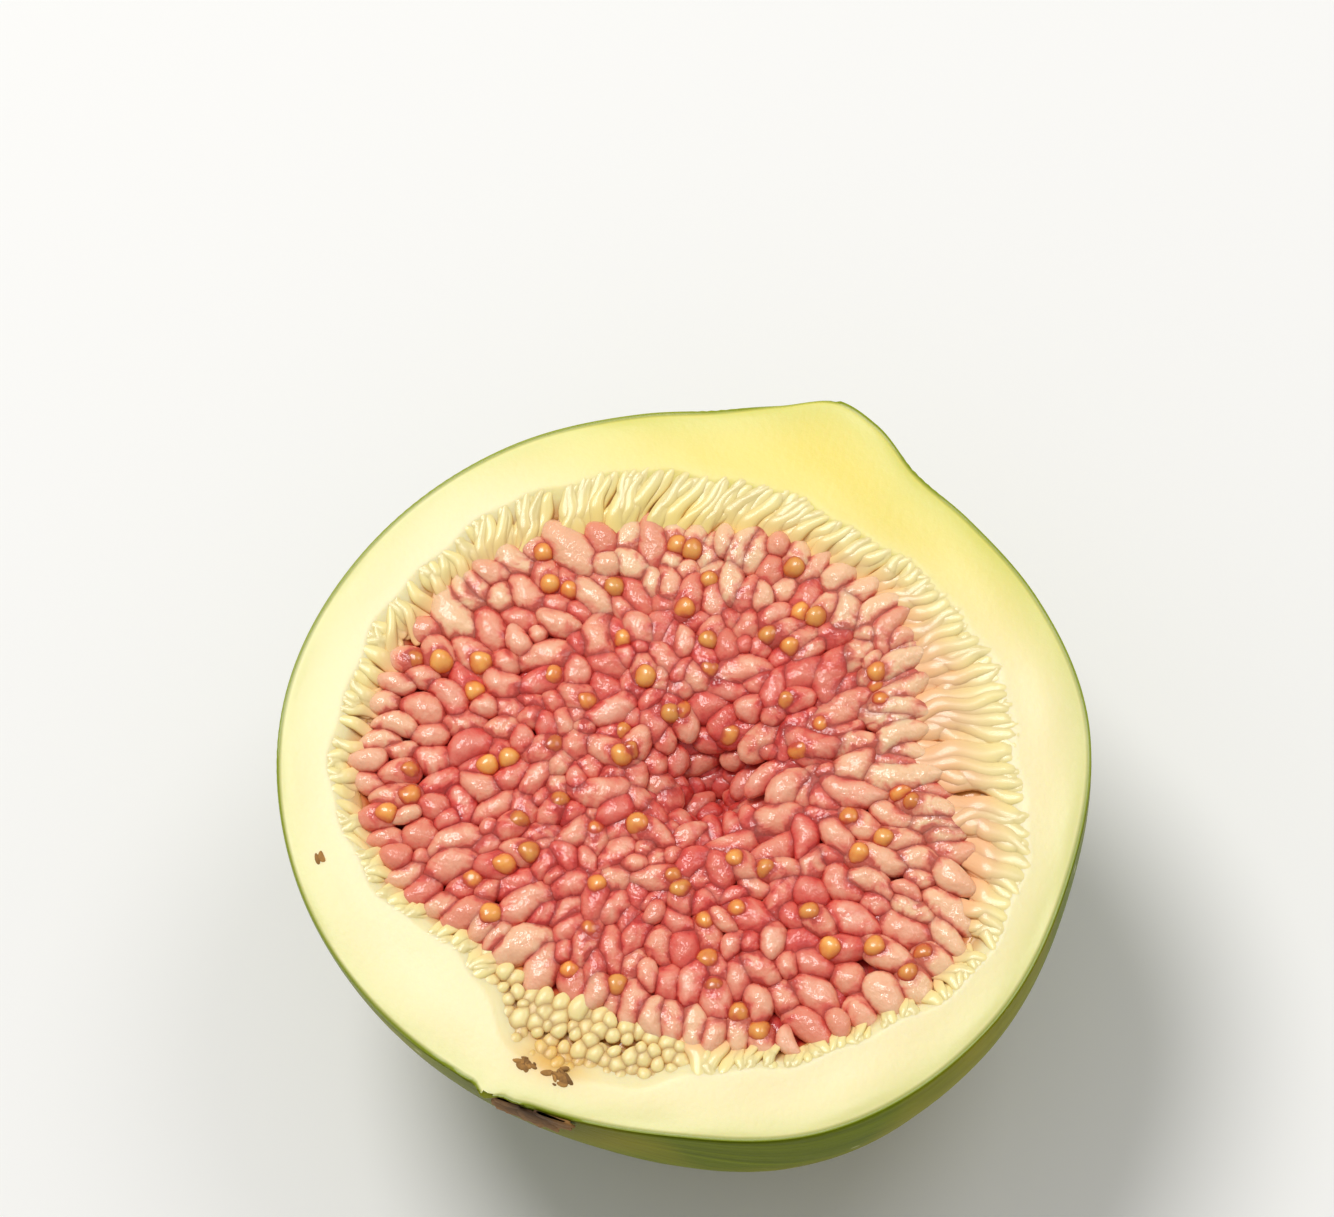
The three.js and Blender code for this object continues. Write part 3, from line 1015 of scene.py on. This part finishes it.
def build_florets(size, colours):
    """The red sacs, in two layers, and the seeds between them."""
    rng = np.random.default_rng(5)
    upper = packed_blobs(size, rng)
    lower = low_blobs(size, rng)
    seeds = [blob for blob in upper if blob.seed]
    sacs = [blob for blob in upper if not blob.seed]
    shell = Gathered()
    add_blobs(shell, sacs, dome_rings(9, 20, math.radians(125)), upper)
    add_blobs(shell, lower, dome_rings(6, 14, math.radians(115)), upper + lower)
    make_piece("fig_sacs", shell, size, [sac_material(colours)], "fig_pulp")
    shell = Gathered()
    add_blobs(shell, seeds, dome_rings(12, 18, math.radians(170)), upper)
    make_piece("fig_seeds", shell, size, [seed_material(colours)], "fig_pulp")


def build_stalks(size, colours):
    """Stalks that rise out of the dipping flesh and run in under the sacs, none of them at the eye."""
    shell = Gathered()
    count = size.stalk_count
    rng = np.random.default_rng(11)
    rows, sides = 22, 12
    t = np.linspace(0, 1, rows)
    turn = np.linspace(0, 2 * math.pi, sides, endpoint=False)
    flat_topped = np.sign(np.sin(turn)) * np.abs(np.sin(turn)) ** 0.6
    for layer, drop in enumerate(STALK_LAYERS):
        for i in range(count):
            angle = 2 * math.pi * (i + layer / 3 + 0.5 * rng.random()) / count
            edge = float(pulp_edge(size, np.array(angle)))
            pale = edge - float(sac_edge(size, np.array(angle)))
            fringed = float(smooth_step(1.2, 3.5, np.array(pale)))
            at_stem = float(bump(angle, 1.95, 0.75))
            length = STALK_ROOT + pale * rng.uniform(0.5 + 0.3 * fringed, 1.15) + 0.5 + 0.5 * fringed
            half = size.stalk * rng.uniform(0.75, 1.2) * (0.7 + 0.3 * fringed) * (1 - 0.2 * at_stem)
            lean = 0.12 + 0.45 * at_stem + rng.normal(0, 0.4 - 0.26 * fringed)
            wave = rng.uniform(0.12, 0.38)
            phase = rng.uniform(0, 2 * math.pi)
            run = length * t
            reach = edge + STALK_ROOT - run
            side = lean * run + wave * np.sin(phase + 1.5 * run) * smooth_step(1.0, 3.0, run)
            x = reach * math.cos(angle) - side * math.sin(angle)
            y = size.pulp_y + reach * math.sin(angle) + side * math.cos(angle)
            sag = (drop + 0.12 * rng.random()) * smooth_step(1.2, 3, run) + 0.6 * smooth_step(0.6, 1, t)
            shown_at = 0.28 * math.sin(7 * i + 2 * layer) * fringed
            top = 0.01 - 0.16 * smooth_step(0, 0.9, reach - edge - shown_at) - sag
            tip = np.sqrt(np.maximum(1 - np.maximum(2 * t - 1, 0) ** 7, 0.05))
            wide = half * (0.45 + 0.6 * smooth_step(0, 3.0, run)) * tip
            tall = 0.5 * wide
            across = np.array([-math.sin(angle), math.cos(angle)])
            ring = np.zeros((rows, sides, 3))
            ring[..., 0] = x[:, None] + across[0] * wide[:, None] * np.cos(turn)
            ring[..., 1] = y[:, None] + across[1] * wide[:, None] * np.cos(turn)
            ring[..., 2] = (top - tall)[:, None] + tall[:, None] * flat_topped
            # rise runs from 0 under a stalk to 1 on its top; the material paints shade on the low part.
            rise = 0.5 + 0.5 * np.sin(turn) + 0 * t[:, None]
            peach = smooth_step(1.6, max(4.2, 0.75 * length), run)[:, None] + 0 * turn
            from_eye = math.remainder(angle - EYE_ANGLE, 2 * math.pi)
            if abs(from_eye) > 0.4:
                shell.add(ring, rise=rise, run=peach, at_stem=at_stem)
    return make_piece("fig_stalks", shell, size, [stalk_material(colours)], "fig_pulp")


def build_grains(size, colours):
    """Small pale grains that fill the funnel inside the eye."""
    rng = np.random.default_rng(17)
    spacing = 1.62 * size.grain
    blobs = []
    for row in range(10):
        for column in range(-8, 11):
            x = spacing * (column + 0.5 * (row % 2)) + rng.normal(0, 0.12)
            y = -17.2 - spacing * 0.87 * row + rng.normal(0, 0.12)
            angle = math.atan2(y - size.pulp_y, x)
            away = math.hypot(x, y - size.pulp_y)
            inside = away < float(pulp_edge(size, np.array(angle))) - 0.1
            fan = away > float(sac_edge(size, np.array(angle))) + 0.25
            wide = size.grain * rng.uniform(0.7, 1.3)
            blob = new_blob(
                x=x,
                y=y,
                heading=angle + rng.normal(0, 0.4),
                long=wide * rng.uniform(1.05, 1.4),
                wide=wide,
                deep=wide * 0.55,
                top=-0.05 - 0.22 * rng.random(),
                tint=rng.random(),
                # How near the eye a grain lies, for its orange.
                sunk=float(smooth_step(-20.6, -22.6, y)) * float(bump(angle, -1.55, 0.16)),
                phase=rng.uniform(0, 2 * math.pi),
            )
            if inside and fan and abs(angle - EYE_ANGLE) < 0.46:
                blobs.append(blob)
    shell = Gathered()
    add_blobs(shell, blobs, dome_rings(7, 14, math.radians(120)), blobs)
    return make_piece("fig_eye_grains", shell, size, [grain_material(colours)], "fig_pulp")


# Brown bits on the cut face, in millimetres: middle of each patch, its spread and the number of bits
BROWN_PATCHES = (
    (-1.3, -23.25, 0.32, 14),
    (1.1, -23.45, 0.45, 16),
    (-19.3, -15.0, 0.12, 2),
)


def build_scales(size, colours):
    """Dry scales that close the eye on the outside, and the brown bits that the knife left inside it."""
    shell = Gathered()
    rng = np.random.default_rng(23)
    rows, sides = 8, 10
    t = np.linspace(0, 1, rows)
    turn = np.linspace(0, 2 * math.pi, sides, endpoint=False)
    end = float(face_edge(size, np.array(-math.pi / 2)))
    for i in range(16):
        round_eye = math.pi * (1 + (i + rng.random()) / 16)
        start = rng.uniform(0.4, 1.6)
        length = rng.uniform(1.6, 2.8)
        half = rng.uniform(0.6, 1.0)
        away = start + length * t
        lift = 0.12 + 0.35 * rng.random() * t
        wide = half * np.sin(math.pi * np.clip(t * 0.9 + 0.08, 0, 1)) ** 0.7
        thick = 0.1
        ring = np.zeros((rows, sides, 3))
        out = np.array([math.cos(round_eye), math.sin(round_eye)])
        across = np.array([-out[1], out[0]])
        ring[..., 0] = (away * out[0])[:, None] + across[0] * wide[:, None] * np.cos(turn)
        ring[..., 2] = (away * out[1])[:, None] + across[1] * wide[:, None] * np.cos(turn)
        sag = away**2 * 0.03
        ring[..., 1] = (-end - lift + sag)[:, None] - thick * np.sin(turn)
        ring[..., 2] = np.minimum(ring[..., 2], -0.15)
        shell.add(ring, rim=t[:, None] + 0 * turn)
    bit = dome_rings(6, 12, math.radians(170))
    for x, y, spread, count in BROWN_PATCHES:
        for _ in range(count):
            long = rng.uniform(0.15, 0.5)
            blob = new_blob(
                x=x + rng.normal(0, spread),
                y=y + rng.normal(0, 0.6 * spread),
                long=long,
                wide=long * rng.uniform(0.3, 0.6),
                deep=0.1,
                heading=rng.normal(-0.4, 0.6),
                bend=rng.uniform(-0.6, 0.6),
                top=0.07,
                phase=rng.uniform(0, 6),
            )
            shell.add(blob_rings(blob, bit), rim=rng.uniform(0.5, 1.6))
    materials = [scale_material(colours)]
    return make_piece("fig_eye_scales", shell, size, materials, "fig_wall")


# Operators


class FIG_OT_wall(bpy.types.Operator):
    """Builds the skin and flesh"""

    bl_idname = "fig.wall"
    bl_label = "Skin and flesh"

    def execute(self, context):
        build_wall(measures(context), context.scene.fig_colours)
        return {"FINISHED"}


class FIG_OT_ground(bpy.types.Operator):
    """Builds the ground that the florets stand on"""

    bl_idname = "fig.ground"
    bl_label = "Pulp ground"

    def execute(self, context):
        build_ground(measures(context), context.scene.fig_colours)
        return {"FINISHED"}


class FIG_OT_stalks(bpy.types.Operator):
    """Builds the pale stalks round the pulp"""

    bl_idname = "fig.stalks"
    bl_label = "Stalks"

    def execute(self, context):
        build_stalks(measures(context), context.scene.fig_colours)
        return {"FINISHED"}


class FIG_OT_florets(bpy.types.Operator):
    """Builds the red sacs and the seeds that they hold"""

    bl_idname = "fig.florets"
    bl_label = "Sacs and seeds"

    def execute(self, context):
        build_florets(measures(context), context.scene.fig_colours)
        return {"FINISHED"}


class FIG_OT_grains(bpy.types.Operator):
    """Builds the pale grains inside the eye"""

    bl_idname = "fig.grains"
    bl_label = "Eye grains"

    def execute(self, context):
        build_grains(measures(context), context.scene.fig_colours)
        return {"FINISHED"}


class FIG_OT_scales(bpy.types.Operator):
    """Builds the dry scales of the eye"""

    bl_idname = "fig.scales"
    bl_label = "Eye scales"

    def execute(self, context):
        build_scales(measures(context), context.scene.fig_colours)
        return {"FINISHED"}


# Stage

CAMERA_AZIMUTH = math.radians(36.2)
CAMERA_ELEVATION = math.radians(65)
CAMERA_ROLL = math.radians(15.1)
CAMERA_LENS = 150
CAMERA_DISTANCE = 0.3628
CAMERA_AIM = (-4.8, 8.8)  # millimetres on the cut face
FLOOR_HALF_SIDE = 6.0  # metres
WORLD_STRENGTH = 0.42


def look(azimuth, elevation, roll, target, distance):
    """A camera matrix that looks at a target, rolled clockwise."""
    back = Vector(
        (
            math.sin(azimuth) * math.cos(elevation),
            -math.cos(azimuth) * math.cos(elevation),
            math.sin(elevation),
        )
    )
    right = Vector((math.cos(azimuth), math.sin(azimuth), 0))
    up = back.cross(right)
    rolled_right = right * math.cos(roll) - up * math.sin(roll)
    rolled_up = up * math.cos(roll) + right * math.sin(roll)
    matrix = Matrix((rolled_right, rolled_up, back)).transposed().to_4x4()
    matrix.translation = Vector(target) + back * distance
    return matrix


def add_light(name, target, azimuth, elevation, distance, width, power):
    """A round soft light that faces a target, with angles in degrees."""
    data = bpy.data.lights.new(name, "AREA")
    data.shape = "DISK"
    data.size = width
    data.energy = power
    lamp = bpy.data.objects.new(name, data)
    lamp.matrix_world = look(math.radians(azimuth), math.radians(elevation), 0, target, distance)
    bpy.context.scene.collection.objects.link(lamp)


class FIG_OT_stage(bpy.types.Operator):
    """Adds the floor, soft studio light and the camera"""

    bl_idname = "fig.stage"
    bl_label = "Stage"

    def execute(self, context):
        scene = context.scene
        size = measures(context)
        mesh = bpy.data.meshes.new("floor")
        side = FLOOR_HALF_SIDE
        corners = [(-side, -side, 0), (side, -side, 0), (side, side, 0), (-side, side, 0)]
        mesh.from_pydata(corners, [], [(0, 1, 2, 3)])
        floor = bpy.data.objects.new("floor", mesh)
        scene.collection.objects.link(floor)
        material, tree = new_material("Studio paper")
        finish_material(tree, {"Base Color": scene.fig_colours.floor, "Roughness": 0.8})
        mesh.materials.append(material)
        target = (0, 0, size.cut_height * MM)
        add_light("key", target, azimuth=236, elevation=62, distance=0.9, width=0.4, power=4.9)
        add_light("fill", target, azimuth=150, elevation=55, distance=1.0, width=0.43, power=1.45)
        world = bpy.data.worlds.new("Soft box")
        scene.world = world
        world.use_nodes = True
        background = world.node_tree.nodes["Background"]
        background.inputs["Color"].default_value = linear("#ffffff")
        background.inputs["Strength"].default_value = WORLD_STRENGTH
        camera = bpy.data.objects.new("camera", bpy.data.cameras.new("camera"))
        camera.data.lens = CAMERA_LENS
        aim = (CAMERA_AIM[0] * MM, CAMERA_AIM[1] * MM, size.cut_height * MM)
        camera.matrix_world = look(CAMERA_AZIMUTH, CAMERA_ELEVATION, CAMERA_ROLL, aim, CAMERA_DISTANCE)
        camera.data.clip_start = 0.01
        scene.collection.objects.link(camera)
        scene.camera = camera
        scene.view_settings.view_transform = "Standard"
        return {"FINISHED"}


class FIG_PT_panel(bpy.types.Panel):
    """Lists the steps that build the fig"""

    bl_label = "Fig"
    bl_idname = "FIG_PT_panel"
    bl_space_type = "VIEW_3D"
    bl_region_type = "UI"
    bl_category = "Fig"

    def draw(self, context):
        for operator in OPERATORS:
            self.layout.operator(operator.bl_idname)
        for group in (context.scene.fig_sizes, context.scene.fig_colours):
            for name in group.bl_rna.properties.keys():
                if name not in ("rna_type", "name"):
                    self.layout.prop(group, name)


OPERATORS = (
    FIG_OT_stage,
    FIG_OT_wall,
    FIG_OT_ground,
    FIG_OT_stalks,
    FIG_OT_florets,
    FIG_OT_grains,
    FIG_OT_scales,
)
CLASSES = (FigSizes, FigColours, *OPERATORS, FIG_PT_panel)


def register():
    for cls in CLASSES:
        bpy.utils.register_class(cls)
    bpy.types.Scene.fig_sizes = bpy.props.PointerProperty(type=FigSizes)
    bpy.types.Scene.fig_colours = bpy.props.PointerProperty(type=FigColours)


def unregister():
    del bpy.types.Scene.fig_colours
    del bpy.types.Scene.fig_sizes
    for cls in reversed(CLASSES):
        bpy.utils.unregister_class(cls)


def main():
    register()
    bpy.ops.fig.stage()
    bpy.ops.fig.wall()
    bpy.ops.fig.ground()
    bpy.ops.fig.stalks()
    bpy.ops.fig.florets()
    bpy.ops.fig.grains()
    bpy.ops.fig.scales()


if __name__ == "__main__":
    main()
